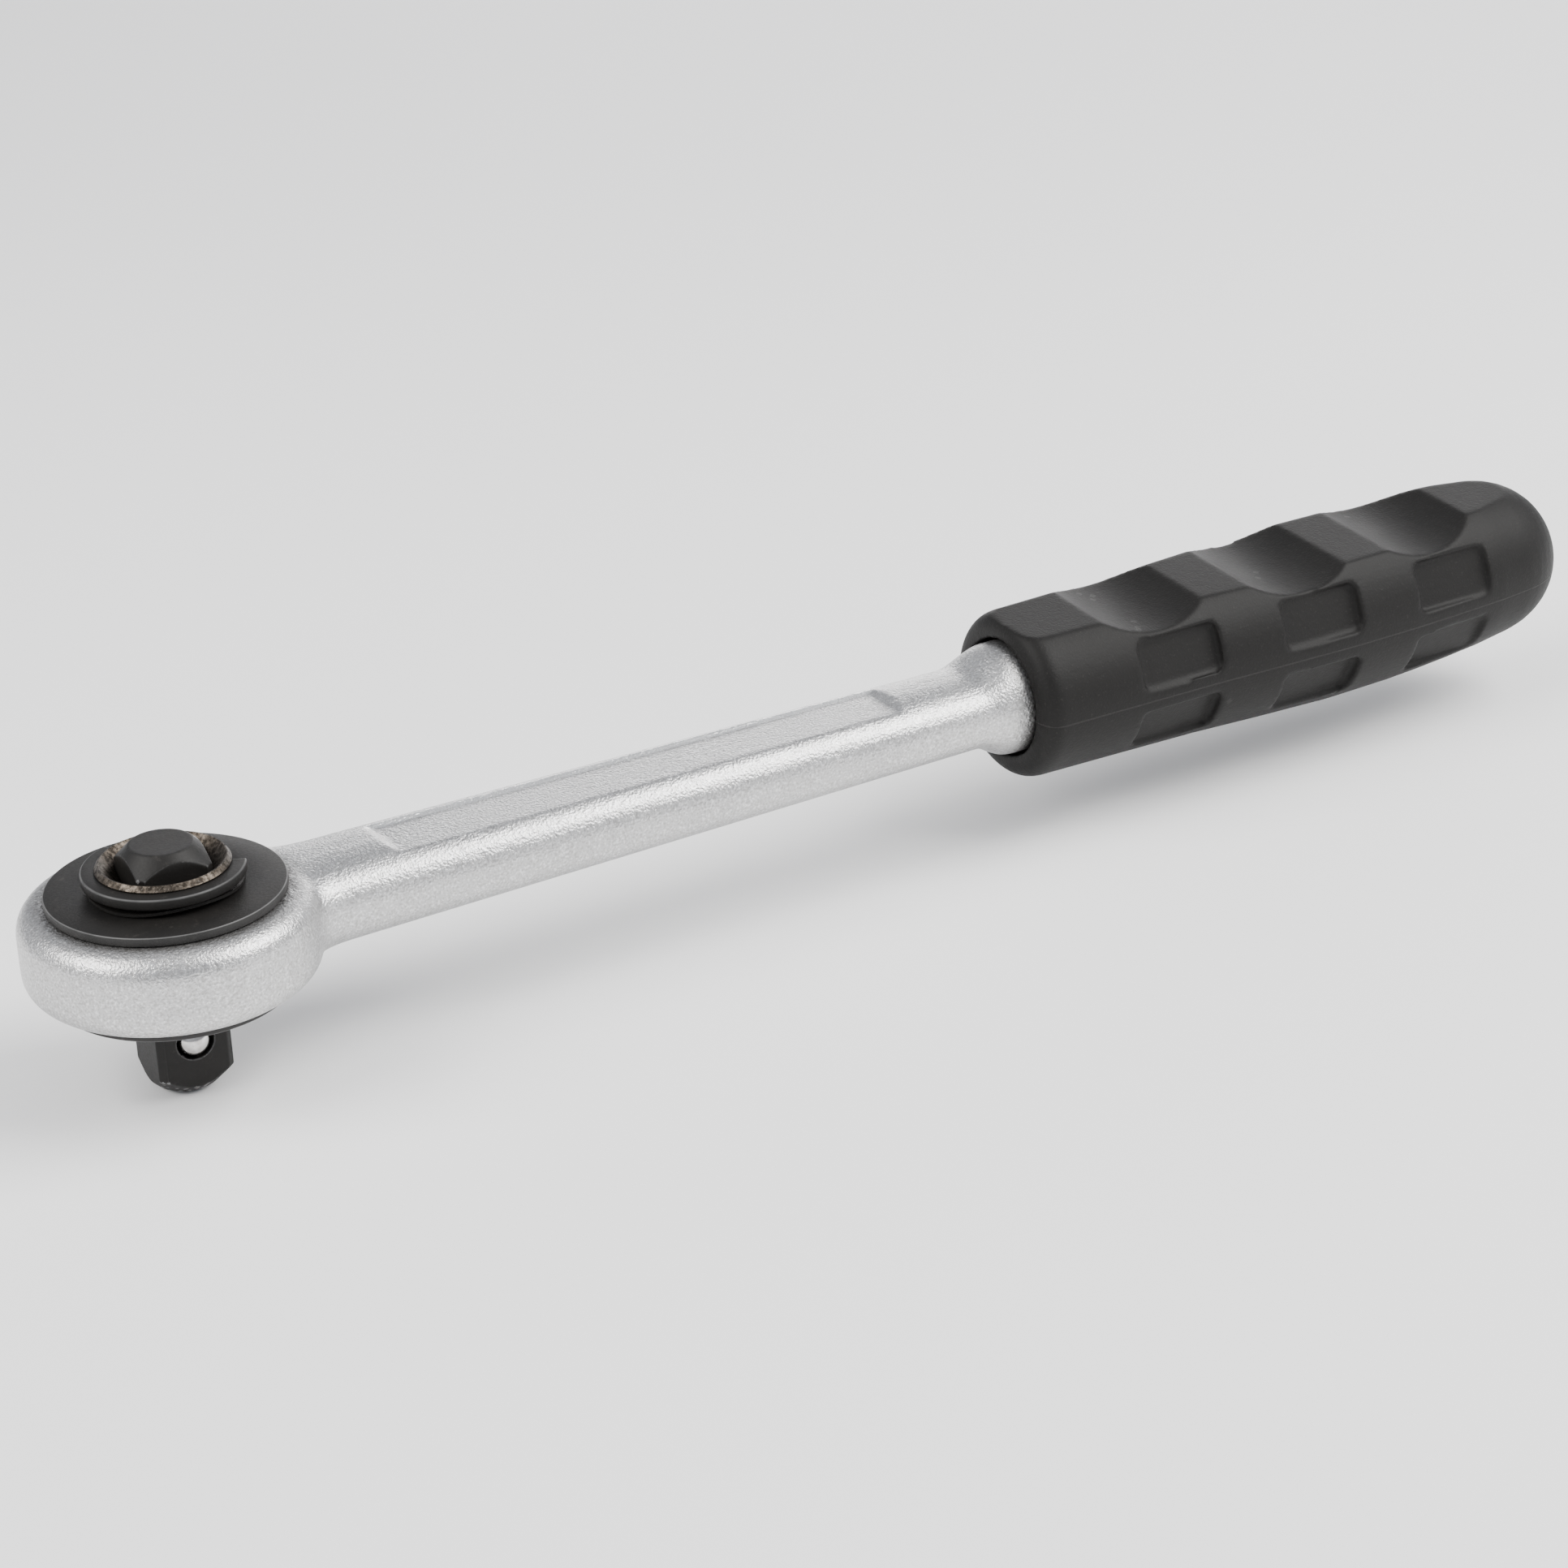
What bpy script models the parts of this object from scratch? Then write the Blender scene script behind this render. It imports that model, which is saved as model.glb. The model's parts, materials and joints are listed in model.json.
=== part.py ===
"""Push-through ratchet wrench, half-inch square drive.

A forged body (round head, tapering shank, collar and tang) holds a toothed
wheel between two cover discs and two snap rings.  A square bar slides through
the wheel: pushing it to the other side reverses the tool.  A spring-loaded
pawl in the neck engages the wheel.  A moulded grip is pinned on the tang.

Frame: metres, +Z up along the drive, +X along the handle.  The origin is the
centre of the lower end of the square drive.
"""

import math

import bmesh
import bpy
from mathutils import Matrix

MM = 0.001

# ---- driving dimensions -------------------------------------------------
# Square drive
DRIVE_WIDTH = 12.7 * MM
DRIVE_LENGTH = 42.1 * MM
DRIVE_CORNER_BEVEL = 1.1 * MM      # leg of the flat along each corner
DRIVE_END_RADIUS = 5.2 * MM        # flat circle left on each end
DRIVE_CHAMFER = 3.8 * MM           # height of the turned chamfer at the corners
DRIVE_TURN = math.radians(-3.0)    # the wheel's resting angle
BALL_RADIUS = 2.9 * MM
BALL_PROUD = 1.3 * MM
BALL_PRESS = 1.1 * MM              # how far a ball goes in
BALL_FROM_END = 9.2 * MM
BALL_BORE_END = -4.4 * MM          # blind end, past the drive's axis

# Head of the forging
HEAD_RADIUS = 24.2 * MM
HEAD_THICKNESS = 14.8 * MM
HEAD_MID_Z = 25.7 * MM
HEAD_EDGE = 4.2 * MM               # rounding of the head's rim
HEAD_BORE = 17.1 * MM

# Wheel
TOOTH_COUNT = 24
TOOTH_TIP = 16.8 * MM
TOOTH_DEPTH = 1.3 * MM
HUB_RADIUS = 10.9 * MM
HUB_HALF_HEIGHT = HEAD_THICKNESS / 2 + 6.2 * MM
HUB_LOWER_HALF = HUB_HALF_HEIGHT - 1.5 * MM    # shorter below, where no washer lies
HUB_BEVEL_WIDTH = 0.6 * MM         # worn bevel round the hub's rim
HUB_BEVEL_HEIGHT = 0.85 * MM
COUNTERSINK_MOUTH = 10.1 * MM
COUNTERSINK_DEPTH = 3.4 * MM
COUNTERSINK_FLOOR = 6.9 * MM

# Discs, washers and rings
DISC_RADIUS = HEAD_RADIUS - 4.75 * MM
DISC_THICKNESS = 1.5 * MM
DISC_EDGE = 0.3 * MM
WASHER_OUTER = 12.7 * MM
WASHER_THICKNESS = 0.5 * MM
WASHER_WAVE = 0.4 * MM             # height of each wave above and below
WASHER_WAVES = 3
RING_OUTER = 13.2 * MM
RING_THICKNESS = 1.85 * MM
RING_GROOVE_DEPTH = 0.75 * MM
RING_START = math.radians(112.0)   # anticlockwise from +X, seen from above
RING_SPAN = math.radians(223.0)
RING_EDGE = 0.3 * MM

# Pawl
PAWL_WIDTH = 12.0 * MM
PAWL_HEIGHT = 9.0 * MM
PAWL_BACK_X = 23.6 * MM
PAWL_TRAVEL = 1.7 * MM
PAWL_SPRING_RADIUS = 2.1 * MM
PAWL_SPRING_WIRE = 0.5 * MM
PAWL_SPRING_TURNS = 6
PAWL_SPRING_SEAT = 3.6 * MM        # blind hole in the pawl's back
PAWL_SPRING_HOLE = 9.0 * MM        # blind hole in the neck

# Ball springs
BALL_SPRING_RADIUS = 1.7 * MM
BALL_SPRING_WIRE = 0.4 * MM
BALL_SPRING_TURNS = 5

# Shank and collar
SHANK_WIDTH = 21.7 * MM
SHANK_HEIGHT = 14.8 * MM
SHANK_SQUARENESS = 2.6             # 2 is an ellipse, more is squarer
SHANK_END_WIDTH = 18.8 * MM
SHANK_END_HEIGHT = 13.4 * MM
SHANK_END_SQUARENESS = 2.4
SHANK_FILLET = 10.0 * MM           # where the head's side runs into the shank
FLARE_START = 152.0 * MM
COLLAR_RADIUS = 10.35 * MM
COLLAR_START = FLARE_START + 8.5 * MM
COLLAR_END = COLLAR_START + 4.0 * MM
COLLAR_EDGE = 1.0 * MM
PANEL_START = HEAD_RADIUS + 13.8 * MM
PANEL_END = FLARE_START - 16.0 * MM
PANEL_WIDTH = 11.6 * MM
PANEL_SHIFT = -1.4 * MM            # to the near side, where the floor runs out of the round
PANEL_DEPTH = 1.0 * MM
PANEL_SLOPE = 1.2 * MM             # run of the sloped wall around the floor

# Tang, grip and its pin
TANG_RADIUS = 6.5 * MM
TANG_LENGTH = 98.0 * MM
GRIP_START = COLLAR_START + 0.9 * MM
GRIP_LENGTH = 125.6 * MM
GRIP_TURN = math.radians(4.6)      # the grip sits slightly turned on the tang
GRIP_FORM = (                      # (share of the length, radius, rise of the centre)
    (0.00, 15.5 * MM, 0.0),
    (0.15, 15.8 * MM, 0.0),
    (0.30, 16.15 * MM, 0.0),
    (0.42, 16.75 * MM, 0.0),
    (0.55, 17.25 * MM, 0.0),
    (0.66, 17.1 * MM, 0.05 * MM),
    (0.72, 16.85 * MM, 0.15 * MM),
    (0.78, 16.5 * MM, 0.3 * MM),
    (0.84, 16.05 * MM, 0.5 * MM),
    (0.90, 15.2 * MM, 0.6 * MM),
    (1.00, 13.3 * MM, 0.6 * MM),
)
GRIP_FRONT_EDGE = 3.5 * MM
GRIP_DOME_LENGTH = 11.8 * MM       # rounding of the closed rear end
GRIP_DOME_DROP = 8.4 * MM
GRIP_FLAT = 13.8 * MM              # height of the flat top above the grip's axis
GRIP_HEEL = 1.2 * MM               # how much higher the flat is behind the last scallop
SCALLOP_FIRST = 27.3 * MM          # centre of the first scallop from the grip's front
SCALLOP_PITCH = 32.1 * MM
SCALLOP_LENGTH = 21.4 * MM
SCALLOP_DEPTH = 2.6 * MM
SCALLOP_COUNT = 3
POCKET_LENGTH = 17.6 * MM
POCKET_HEIGHT = 9.4 * MM
POCKET_CORNER = 1.6 * MM
POCKET_DEPTH = 1.7 * MM
POCKET_FIRST = 29.8 * MM
POCKET_PITCH = 31.7 * MM
POCKET_LEAN = math.radians(24.8)   # rows above and below the parting plane
POCKET_COUNT = 3
PIN_RADIUS = 1.5 * MM
PIN_FROM_FRONT = 76.0 * MM
PIN_HALF_LENGTH = 11.0 * MM
PIN_EDGE = 0.3 * MM

# Clearances
REST_GAP = 0.15 * MM               # under a disc or ring that lies on its neighbour
RUN_GAP = 0.3 * MM                 # round a turning or seated piece
SLIDE_GAP = 0.15 * MM              # on each flat of the sliding square
TOOTH_GAP = 0.35 * MM
TOOTH_LASH = math.radians(1.0)
BALL_GAP = 0.25 * MM
CUT = 2.0 * MM                     # how far a cutter reaches past a face

# ---- places worked out from the sizes above -------------------------------
HEAD_TOP = HEAD_MID_Z + HEAD_THICKNESS / 2
HEAD_BOTTOM = HEAD_MID_Z - HEAD_THICKNESS / 2
HUB_TOP = HEAD_MID_Z + HUB_HALF_HEIGHT
DISC_BOTTOM = HEAD_THICKNESS / 2 + REST_GAP          # heights from the mid plane
DISC_TOP = DISC_BOTTOM + DISC_THICKNESS
WASHER_MID = DISC_TOP + REST_GAP + WASHER_WAVE + WASHER_THICKNESS / 2
RING_BOTTOM = WASHER_MID + WASHER_WAVE + WASHER_THICKNESS / 2 + REST_GAP
RING_TOP = RING_BOTTOM + RING_THICKNESS
LOWER_RING_BOTTOM = DISC_TOP + REST_GAP              # depths from the mid plane
LOWER_RING_TOP = LOWER_RING_BOTTOM + RING_THICKNESS
GROOVE_RADIUS = HUB_RADIUS - RING_GROOVE_DEPTH
RING_INNER = GROOVE_RADIUS + RUN_GAP
TEETH_HALF = HEAD_THICKNESS / 2 - RUN_GAP + REST_GAP
TOOTH_ROOT = TOOTH_TIP - TOOTH_DEPTH
TOOTH_PITCH = 2 * math.pi / TOOTH_COUNT
BALL_CENTRE = DRIVE_WIDTH / 2 - BALL_RADIUS + BALL_PROUD
BALL_BORE = BALL_RADIUS + BALL_GAP
BALL_SIDE = DRIVE_TURN - math.pi / 2                 # the flat that carries the balls
ROUND = 48                                           # sides of an ordinary turned piece


# ---- scene and helpers ----------------------------------------------------
for old in list(bpy.data.objects):
    bpy.data.objects.remove(old, do_unlink=True)

parts = bpy.data.collections.new("ratchet_wrench")
cutters = bpy.data.collections.new("cutters")
bpy.context.scene.collection.children.link(parts)
bpy.context.scene.collection.children.link(cutters)


def material(name, colour, roughness, metallic):
    made = bpy.data.materials.new(name)
    made.use_nodes = True
    shader = made.node_tree.nodes["Principled BSDF"]
    shader.inputs["Base Color"].default_value = (*colour, 1.0)
    shader.inputs["Roughness"].default_value = roughness
    shader.inputs["Metallic"].default_value = metallic
    return made


SATIN_CHROME = material("satin_chrome", (0.62, 0.61, 0.60), 0.42, 1.0)
WORN_STEEL = material("worn_steel", (0.36, 0.32, 0.28), 0.38, 1.0)
BLACK_OXIDE = material("black_oxide", (0.045, 0.043, 0.042), 0.5, 0.6)
BRIGHT_STEEL = material("bright_steel", (0.85, 0.84, 0.82), 0.12, 1.0)
SPRING_STEEL = material("spring_steel", (0.42, 0.41, 0.40), 0.3, 1.0)
TOOL_STEEL = material("tool_steel", (0.30, 0.29, 0.28), 0.4, 1.0)
BLACK_PLASTIC = material("black_plastic", (0.02, 0.019, 0.018), 0.55, 0.0)


def add_object(name, mesh, finish=None):
    """A part when it has a finish, otherwise a hidden cutter."""
    obj = bpy.data.objects.new(name, mesh)
    if finish is None:
        cutters.objects.link(obj)
        obj.hide_render = True
        obj.display_type = "WIRE"
    else:
        parts.objects.link(obj)
        mesh.materials.append(finish)
    return obj


def mesh_from(bm, name):
    mesh = bpy.data.meshes.new(name)
    bmesh.ops.recalc_face_normals(bm, faces=bm.faces)
    bm.to_mesh(mesh)
    bm.free()
    return mesh


def smooth(obj, angle=35.0):
    obj.data.shade_smooth()
    obj.data.set_sharp_from_angle(angle=math.radians(angle))


def cylinder(name, radius, low, high, finish=None, sides=ROUND):
    """An upright cylinder on the Z axis between two heights."""
    bm = bmesh.new()
    height = high - low
    bmesh.ops.create_cone(bm, cap_ends=True, segments=sides, radius1=radius, radius2=radius, depth=height)
    bmesh.ops.translate(bm, verts=bm.verts, vec=(0.0, 0.0, (low + high) / 2))
    return add_object(name, mesh_from(bm, name), finish)


def box(name, low, high, finish=None):
    bm = bmesh.new()
    bmesh.ops.create_cube(bm, size=1.0)
    size = [high[axis] - low[axis] for axis in range(3)]
    middle = [(high[axis] + low[axis]) / 2 for axis in range(3)]
    bmesh.ops.scale(bm, verts=bm.verts, vec=size)
    bmesh.ops.translate(bm, verts=bm.verts, vec=middle)
    return add_object(name, mesh_from(bm, name), finish)


def turned(name, profile, finish=None, sides=ROUND):
    """Turns (radius, height) points, top to bottom, about the Z axis."""
    mesh = bpy.data.meshes.new(name)
    edges = [(i, i + 1) for i in range(len(profile) - 1)]
    mesh.from_pydata([(radius, 0.0, height) for radius, height in profile], edges, [])
    obj = add_object(name, mesh, finish)
    screw = obj.modifiers.new("turn", "SCREW")
    screw.axis = "Z"
    screw.angle = 2 * math.pi
    screw.steps = sides
    screw.render_steps = sides
    screw.use_merge_vertices = True
    screw.merge_threshold = 0.00001
    return obj


def prism(name, outline, low, high, finish=None):
    """Extrudes a closed outline of (x, y) points between two heights."""
    bm = bmesh.new()
    face = bm.faces.new([bm.verts.new((x, y, low)) for x, y in outline])
    lifted = bmesh.ops.extrude_face_region(bm, geom=[face])["geom"]
    verts = [item for item in lifted if isinstance(item, bmesh.types.BMVert)]
    bmesh.ops.translate(bm, verts=verts, vec=(0.0, 0.0, high - low))
    return add_object(name, mesh_from(bm, name), finish)


def boolean(obj, other, operation="DIFFERENCE"):
    modifier = obj.modifiers.new(f"{operation.lower()}_{other.name}", "BOOLEAN")
    modifier.operation = operation
    modifier.object = other
    return modifier


def bevel(obj, width, segments=2, angle=40.0):
    modifier = obj.modifiers.new("rounded_edges", "BEVEL")
    modifier.width = width
    modifier.segments = segments
    modifier.limit_method = "ANGLE"
    modifier.angle_limit = math.radians(angle)
    return modifier


def polar(radius, angle):
    return radius * math.cos(angle), radius * math.sin(angle)


def turn_mesh(obj, angle, axis="Z"):
    obj.data.transform(Matrix.Rotation(angle, 4, axis))


def arc(radius, start, end, steps):
    """Points along an arc, both ends included."""
    return [polar(radius, start + (end - start) * i / steps) for i in range(steps + 1)]


# ---- ratchet wheel ----------------------------------------------------------
def square_outline(width, corner):
    """A square with a straight bevel on each corner, corner being its leg."""
    half = width / 2
    points = []
    for quarter in range(4):
        angle = quarter * math.pi / 2
        for x, y in ((half, -(half - corner)), (half, half - corner)):
            points.append(
                (x * math.cos(angle) - y * math.sin(angle), x * math.sin(angle) + y * math.cos(angle))
            )
    return points


def tooth_outline(root, tip):
    """Saw teeth: each flank climbs from root to tip and drops straight back."""
    points = []
    for tooth in range(TOOTH_COUNT):
        start = tooth * TOOTH_PITCH
        points.append(polar(root, start))
        points.append(polar((root + tip) / 2, start + TOOTH_PITCH * 0.5))
        points.append(polar(tip, start + TOOTH_PITCH * 0.94))
        points.append(polar(tip, start + TOOTH_PITCH))
    return points


def make_wheel():
    teeth = tooth_outline(TOOTH_ROOT, TOOTH_TIP)
    wheel = prism("ratchet_wheel", teeth, -TEETH_HALF, TEETH_HALF, WORN_STEEL)
    hub = turned(
        "hub_form",
        [
            (0.0, HUB_HALF_HEIGHT),
            (HUB_RADIUS - HUB_BEVEL_WIDTH, HUB_HALF_HEIGHT),
            (HUB_RADIUS, HUB_HALF_HEIGHT - HUB_BEVEL_HEIGHT),
            (HUB_RADIUS, RING_TOP + REST_GAP),
            (GROOVE_RADIUS, RING_TOP + REST_GAP),
            (GROOVE_RADIUS, RING_BOTTOM - REST_GAP),
            (HUB_RADIUS, RING_BOTTOM - REST_GAP),
            (HUB_RADIUS, -LOWER_RING_BOTTOM + REST_GAP),
            (GROOVE_RADIUS, -LOWER_RING_BOTTOM + REST_GAP),
            (GROOVE_RADIUS, -LOWER_RING_TOP - REST_GAP),
            (HUB_RADIUS, -LOWER_RING_TOP - REST_GAP),
            (HUB_RADIUS, -HUB_LOWER_HALF + HUB_BEVEL_HEIGHT / 2),
            (HUB_RADIUS - HUB_BEVEL_WIDTH, -HUB_LOWER_HALF),
            (0.0, -HUB_LOWER_HALF),
        ],
    )
    boolean(wheel, hub, "UNION")
    bore_width = DRIVE_WIDTH + 2 * SLIDE_GAP
    bore = prism(
        "square_bore",
        square_outline(bore_width, DRIVE_CORNER_BEVEL),
        -HUB_HALF_HEIGHT - CUT,
        HUB_HALF_HEIGHT + CUT,
    )
    turn_mesh(bore, DRIVE_TURN)
    boolean(wheel, bore)
    reach = HUB_HALF_HEIGHT + CUT
    groove = cylinder("ball_groove", BALL_RADIUS + SLIDE_GAP, -reach, reach, sides=24)
    groove.data.transform(Matrix.Translation((*polar(BALL_CENTRE, BALL_SIDE), 0.0)))
    boolean(wheel, groove)
    slope = (COUNTERSINK_MOUTH - COUNTERSINK_FLOOR) / COUNTERSINK_DEPTH
    for side, rim in (("upper", HUB_HALF_HEIGHT), ("lower", HUB_LOWER_HALF)):
        sink = turned(
            f"countersink_{side}",
            [
                (0.0, rim + CUT),
                (COUNTERSINK_MOUTH + slope * CUT, rim + CUT),
                (COUNTERSINK_FLOOR, rim - COUNTERSINK_DEPTH),
                (0.0, rim - COUNTERSINK_DEPTH),
            ],
        )
        if side == "lower":
            sink.rotation_euler.x = math.pi
        sink.location.z = HEAD_MID_Z
        boolean(wheel, sink)
    for form in (wheel, hub, bore, groove):
        form.location.z = HEAD_MID_Z
    smooth(wheel)
    return wheel


# ---- forged body ------------------------------------------------------------
def oval_section(x, width, height, power, rise=0.0, count=28):
    """Points round a section across the handle: power 2 is an ellipse, more is squarer."""
    points = []
    for i in range(count):
        angle = 2 * math.pi * (i + 0.5) / count
        c = math.cos(angle)
        s = math.sin(angle)
        y = math.copysign(abs(c) ** (2 / power), c) * width / 2
        z = math.copysign(abs(s) ** (2 / power), s) * height / 2
        points.append((x, y, z + rise))
    return points


def loft(name, sections, finish=None):
    """A skin over closed sections with the same number of points, capped at both ends."""
    bm = bmesh.new()
    rings = [[bm.verts.new(point) for point in section] for section in sections]
    count = len(rings[0])
    for near, far in zip(rings, rings[1:]):
        for i in range(count):
            j = (i + 1) % count
            bm.faces.new((near[i], near[j], far[j], far[i]))
    bm.faces.new(rings[0])
    bm.faces.new(rings[-1])
    return add_object(name, mesh_from(bm, name), finish)


def ease(share):
    return share * share * (3 - 2 * share)


def shank_size(x):
    """Width, height and squareness of the shank at a place along the handle.

    Beside the head the width follows the fillet, a circle that touches the
    head's side and the shank's.
    """
    share = max(0.0, min(1.0, (x - HEAD_RADIUS) / (FLARE_START - HEAD_RADIUS)))
    width = SHANK_WIDTH + (SHANK_END_WIDTH - SHANK_WIDTH) * share
    height = SHANK_HEIGHT + (SHANK_END_HEIGHT - SHANK_HEIGHT) * share
    flare = ease(max(0.0, min(1.0, (x - FLARE_START) / (COLLAR_START - FLARE_START))))
    centre_y = SHANK_WIDTH / 2 + SHANK_FILLET
    centre_x = math.sqrt((HEAD_RADIUS + SHANK_FILLET) ** 2 - centre_y**2)
    touch_x = centre_x * HEAD_RADIUS / (HEAD_RADIUS + SHANK_FILLET)
    if x < centre_x:
        reach = centre_x - max(x, touch_x)
        width = 2 * (centre_y - math.sqrt(SHANK_FILLET**2 - reach**2))
    width += (2 * COLLAR_RADIUS - width) * flare
    height += (2 * COLLAR_RADIUS - height) * flare
    squareness = SHANK_SQUARENESS + (SHANK_END_SQUARENESS - SHANK_SQUARENESS) * share
    squareness += (2.0 - squareness) * flare
    return width, height, squareness


def make_shank():
    root = HEAD_BORE + TOOTH_DEPTH
    straight = HEAD_RADIUS + SHANK_FILLET
    stations = [root + (straight - root) * i / 10 for i in range(10)]
    stations += [straight + (FLARE_START - straight) * i / 6 for i in range(7)]
    stations += [FLARE_START + (COLLAR_START - FLARE_START) * i / 8 for i in range(1, 9)]
    sections = [oval_section(x, *shank_size(x)) for x in stations]
    sections.append(oval_section(COLLAR_END - COLLAR_EDGE, 2 * COLLAR_RADIUS, 2 * COLLAR_RADIUS, 2.0))
    inner = 2 * (COLLAR_RADIUS - COLLAR_EDGE)
    sections.append(oval_section(COLLAR_END, inner, inner, 2.0))
    shank = loft("shank_form", sections)
    shank.location.z = HEAD_MID_Z
    return shank


def make_panel(side):
    """A long shallow recess with sloped walls, in the top or the bottom of the shank."""
    near = side * PANEL_SHIFT - PANEL_WIDTH / 2
    far = near + PANEL_WIDTH
    rows = []
    for spread, depth in ((0.0, -PANEL_DEPTH), (PANEL_SLOPE * (1 + CUT / PANEL_DEPTH), CUT)):
        rows.append(
            [
                (PANEL_START - spread, near - spread, SHANK_HEIGHT / 2 + depth),
                (PANEL_END + spread, near - spread, SHANK_END_HEIGHT / 2 + depth),
                (PANEL_END + spread, far + spread, SHANK_END_HEIGHT / 2 + depth),
                (PANEL_START - spread, far + spread, SHANK_HEIGHT / 2 + depth),
            ]
        )
    panel = loft(f"panel_{'upper' if side > 0 else 'lower'}", rows)
    if side < 0:
        turn_mesh(panel, math.pi, "X")
    panel.location.z = HEAD_MID_Z
    return panel


def make_body():
    half = HEAD_THICKNESS / 2
    rim = []
    steps = 6
    for i in range(steps + 1):
        angle = math.pi / 2 * (1 - i / steps)
        radius, height = polar(HEAD_EDGE, angle)
        rim.append((HEAD_RADIUS - HEAD_EDGE + radius, half - HEAD_EDGE + height))
    profile = [(0.0, half), *rim, *[(radius, -height) for radius, height in reversed(rim)], (0.0, -half)]
    body = turned("forged_body", profile, SATIN_CHROME, sides=72)
    body.location.z = HEAD_MID_Z
    boolean(body, make_shank(), "UNION")

    tang = cylinder("tang_form", TANG_RADIUS, 0.0, TANG_LENGTH + COLLAR_END - COLLAR_START, sides=32)
    turn_mesh(tang, math.pi / 2, "Y")
    tang.location = (COLLAR_START, 0.0, HEAD_MID_Z)
    boolean(body, tang, "UNION")

    bore = cylinder("head_bore", HEAD_BORE, HEAD_BOTTOM - CUT, HEAD_TOP + CUT, sides=72)
    boolean(body, bore)

    pocket = box(
        "pawl_pocket",
        (HEAD_BORE - CUT, -PAWL_WIDTH / 2 - RUN_GAP, -PAWL_HEIGHT / 2 - RUN_GAP),
        (PAWL_BACK_X + PAWL_TRAVEL + RUN_GAP, PAWL_WIDTH / 2 + RUN_GAP, PAWL_HEIGHT / 2 + RUN_GAP),
    )
    pocket.location.z = HEAD_MID_Z
    boolean(body, pocket)

    hole_radius = PAWL_SPRING_RADIUS + PAWL_SPRING_WIRE / 2 + RUN_GAP
    hole_depth = PAWL_TRAVEL + RUN_GAP + PAWL_SPRING_HOLE
    hole = cylinder("pawl_spring_hole", hole_radius, -CUT, hole_depth, sides=24)
    turn_mesh(hole, math.pi / 2, "Y")
    hole.location = (PAWL_BACK_X, 0.0, HEAD_MID_Z)
    boolean(body, hole)

    for side in (1, -1):
        boolean(body, make_panel(side))

    reach = PIN_HALF_LENGTH + CUT
    pin_hole = cylinder("tang_pin_hole", PIN_RADIUS + RUN_GAP, -reach, reach, sides=24)
    turn_mesh(pin_hole, math.pi / 2 + GRIP_TURN, "X")
    pin_hole.location = (GRIP_START + PIN_FROM_FRONT, 0.0, HEAD_MID_Z)
    boolean(body, pin_hole)
    smooth(body)
    return body


# ---- discs, washers and rings -------------------------------------------------
def make_disc(name, side):
    hole = HUB_RADIUS + RUN_GAP
    disc = turned(
        name,
        [
            (hole, DISC_TOP),
            (DISC_RADIUS - DISC_EDGE, DISC_TOP),
            (DISC_RADIUS, DISC_TOP - DISC_EDGE),
            (DISC_RADIUS, DISC_BOTTOM + DISC_EDGE),
            (DISC_RADIUS - DISC_EDGE, DISC_BOTTOM),
            (hole, DISC_BOTTOM),
            (hole, DISC_TOP),
        ],
        BLACK_OXIDE,
        sides=72,
    )
    if side < 0:
        disc.rotation_euler.x = math.pi
    disc.location.z = HEAD_MID_Z
    smooth(disc)
    return disc


def make_washer():
    """A wave washer: a thin ring that rises and falls three times round."""
    name = "wave_washer"
    bm = bmesh.new()
    inner = HUB_RADIUS + RUN_GAP
    rings = []
    for radius in (inner, WASHER_OUTER):
        ring = []
        for i in range(ROUND):
            angle = 2 * math.pi * i / ROUND
            x, y = polar(radius, angle)
            ring.append(bm.verts.new((x, y, WASHER_WAVE * math.sin(WASHER_WAVES * angle))))
        rings.append(ring)
    for i in range(ROUND):
        j = (i + 1) % ROUND
        bm.faces.new((rings[0][i], rings[1][i], rings[1][j], rings[0][j]))
    washer = add_object(name, mesh_from(bm, name), SPRING_STEEL)
    solid = washer.modifiers.new("wall", "SOLIDIFY")
    solid.thickness = WASHER_THICKNESS
    solid.offset = 0.0
    washer.location.z = HEAD_MID_Z + WASHER_MID
    smooth(washer)
    return washer


def make_ring(name, side):
    """A snap ring: a flat C whose gap faces the back of the tool."""
    steps = 40
    end = RING_START + RING_SPAN
    outline = arc(RING_OUTER, RING_START, end, steps)
    outline += list(reversed(arc(RING_INNER, RING_START, end, steps)))
    low, high = RING_BOTTOM, RING_TOP
    if side < 0:
        low, high = -LOWER_RING_TOP, -LOWER_RING_BOTTOM
    ring = prism(name, outline, low, high, BLACK_OXIDE)
    bevel(ring, RING_EDGE, 1)
    ring.location.z = HEAD_MID_Z
    smooth(ring)
    return ring


# ---- square drive and its balls -------------------------------------------------
def make_drive():
    outline = square_outline(DRIVE_WIDTH, DRIVE_CORNER_BEVEL)
    drive = prism("drive_square", outline, 0.0, DRIVE_LENGTH, BLACK_OXIDE)
    turn_mesh(drive, DRIVE_TURN)
    corner = DRIVE_WIDTH / math.sqrt(2)
    turning = turned(
        "drive_turning",
        [
            (0.0, DRIVE_LENGTH),
            (DRIVE_END_RADIUS, DRIVE_LENGTH),
            (corner, DRIVE_LENGTH - DRIVE_CHAMFER),
            (corner, DRIVE_CHAMFER),
            (DRIVE_END_RADIUS, 0.0),
            (0.0, 0.0),
        ],
    )
    boolean(drive, turning, "INTERSECT")
    for name, height in (("lower", BALL_FROM_END), ("upper", DRIVE_LENGTH - BALL_FROM_END)):
        bore = cylinder(f"ball_bore_{name}", BALL_BORE, BALL_BORE_END, DRIVE_WIDTH, sides=32)
        place_on_ball_axis(bore, height)
        boolean(drive, bore)
    smooth(drive)
    return drive


def place_on_ball_axis(obj, height):
    """Lays a mesh that was made along +Z along the balls' axis, at a height."""
    turn_mesh(obj, math.pi / 2, "Y")
    turn_mesh(obj, BALL_SIDE)
    obj.location.z = height


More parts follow.
